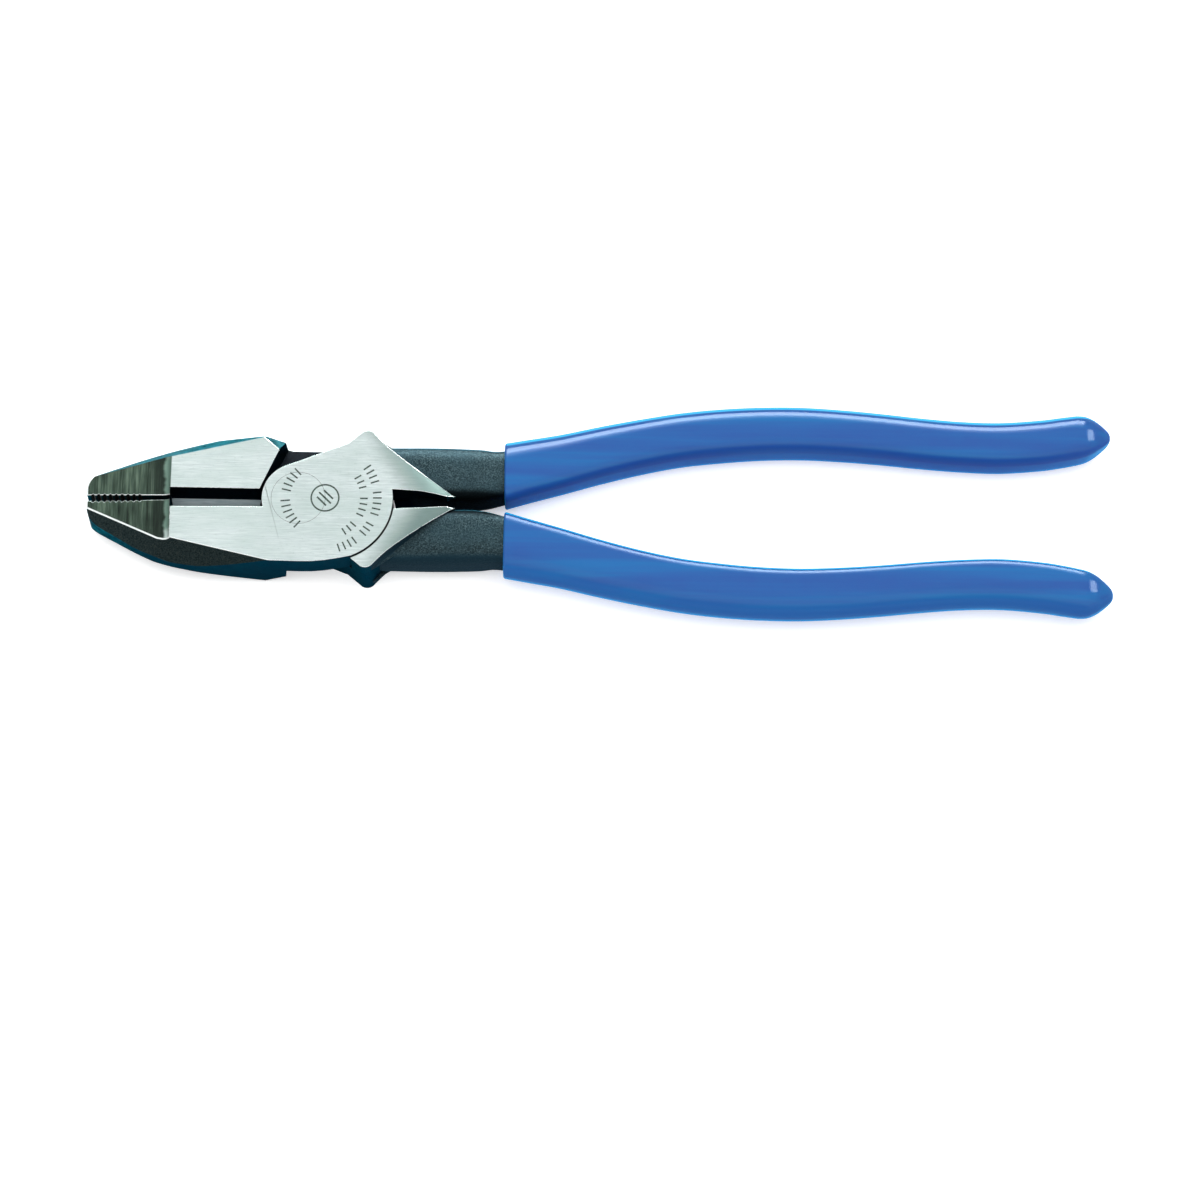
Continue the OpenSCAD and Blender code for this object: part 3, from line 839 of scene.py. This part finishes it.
fm.node_tree.links.new(fmax.outputs[0], mx.inputs[0])
fm.node_tree.links.new(low.outputs[0], mx.inputs[1])
fm.node_tree.links.new(fb.outputs[0], mx.inputs[2])
fm.node_tree.links.new(mx.outputs[0], fo.inputs["Surface"])
fl.materials.append(fm)

world = bpy.data.worlds.new("studio")
bpy.context.scene.world = world
world.use_nodes = True
wt = world.node_tree
wt.nodes.clear()
wo = wt.nodes.new("ShaderNodeOutputWorld")
bg = wt.nodes.new("ShaderNodeBackground")
wt.links.new(bg.outputs[0], wo.inputs[0])
tc = wt.nodes.new("ShaderNodeTexCoord")
sep = wt.nodes.new("ShaderNodeSeparateXYZ")
wt.links.new(tc.outputs["Generated"], sep.inputs[0])

def wmath(op, a, b=0.0):
    n = wt.nodes.new("ShaderNodeMath")
    n.operation = op
    for v, i in ((a, 0), (b, 1)):
        if hasattr(v, "is_linked"):
            wt.links.new(v, n.inputs[i])
        else:
            n.inputs[i].default_value = v
    return n.outputs[0]

def wspan(v, a, b, lo, hi):
    n = wt.nodes.new("ShaderNodeMapRange")
    n.interpolation_type = "SMOOTHSTEP"
    wt.links.new(v, n.inputs["Value"])
    for k, q in (("From Min", a), ("From Max", b), ("To Min", lo), ("To Max", hi)):
        n.inputs[k].default_value = q
    return n.outputs[0]

sky = wspan(sep.outputs[2], 0.0, 0.9, 0.42, 0.95)
front_dark = wspan(sep.outputs[1], -0.97, -0.80, 0.35, 1.0)
lpw = wt.nodes.new("ShaderNodeLightPath")
strip = wmath("MULTIPLY", wspan(sep.outputs[1], 0.60, 0.72, 0.0, 1.0),
              wmath("MULTIPLY", wspan(sep.outputs[2], 0.13, 0.17, 0.0, 1.0), wspan(sep.outputs[2], 0.46, 0.60, 1.0, 0.0)))
band = wmath("MULTIPLY", wspan(sep.outputs[1], 0.45, 0.60, 0.0, 1.0),
             wmath("MULTIPLY", wspan(sep.outputs[2], 0.36, 0.42, 0.0, 1.0), wspan(sep.outputs[2], 0.55, 0.80, 1.0, 0.0)))
tip = wmath("MULTIPLY", wspan(sep.outputs[0], 0.58, 0.62, 0.0, 1.0),
            wmath("MULTIPLY", wspan(wmath("ABSOLUTE", wmath("SUBTRACT", sep.outputs[1], 0.33)), 0.10, 0.13, 1.0, 0.0),
                  wspan(wmath("ABSOLUTE", wmath("SUBTRACT", sep.outputs[2], 0.63)), 0.09, 0.12, 1.0, 0.0)))
side = wspan(wmath("ABSOLUTE", sep.outputs[0]), 0.30, 0.42, 1.0, 0.0)
near = wmath("MULTIPLY", wspan(sep.outputs[1], -0.95, -0.85, 0.0, 1.0), wspan(sep.outputs[1], -0.50, -0.30, 1.0, 0.0))
lamps = wmath("ADD", wmath("MULTIPLY", tip, 16.8), wmath("MULTIPLY", near, 0.6))
lamps = wmath("ADD", lamps, wmath("MULTIPLY", side, wmath("ADD", wmath("MULTIPLY", strip, 18.0), wmath("MULTIPLY", band, 8.0))))
lamps = wmath("MULTIPLY", lamps, lpw.outputs["Is Glossy Ray"])
level = wmath("ADD", wmath("MULTIPLY", sky, front_dark), lamps)
wt.links.new(level, bg.inputs["Strength"])
bg.inputs["Color"].default_value = (0.97, 1.0, 1.0, 1)

def area(name, loc, target, size, power, glossy=True):
    d = bpy.data.lights.new(name, "AREA")
    d.shape = "RECTANGLE"
    d.size, d.size_y = size
    d.energy = power
    o = bpy.data.objects.new(name, d)
    o.location = loc
    o.rotation_euler = (Vector(target) - Vector(loc)).to_track_quat("-Z", "Y").to_euler()
    o.visible_glossy = glossy
    bpy.context.scene.collection.objects.link(o)
    return o

area("soft_top", (0.07, 0.25, 1.3), (0.07, 0, 0), (1.6, 1.2), 16.0, glossy=False)

TILT, ROLL, DIST, SPAN = 17.71, 0.62, 1250.0, 275.6
target = Vector((69.98, -24.0, T))
t = math.radians(TILT)
back_dir = Vector((0, -math.sin(t), math.cos(t)))
up = Vector((0, math.cos(t), math.sin(t)))
right = Vector((1, 0, 0))
rot = Matrix((right, up, back_dir)).transposed().to_4x4() @ Matrix.Rotation(math.radians(ROLL), 4, "Z")
cd = bpy.data.cameras.new("camera")
cam = bpy.data.objects.new("camera", cd)
cd.sensor_width = 36.0
cd.sensor_fit = "HORIZONTAL"
cd.lens = 36.0 * DIST / SPAN
cd.clip_start = 0.05
cd.clip_end = 20.0
cam.matrix_world = Matrix.Translation((target + back_dir * DIST) * 0.001) @ rot
bpy.context.scene.collection.objects.link(cam)
bpy.context.scene.camera = cam
bpy.context.scene.view_settings.view_transform = "Standard"
bpy.context.scene.view_settings.look = "None"
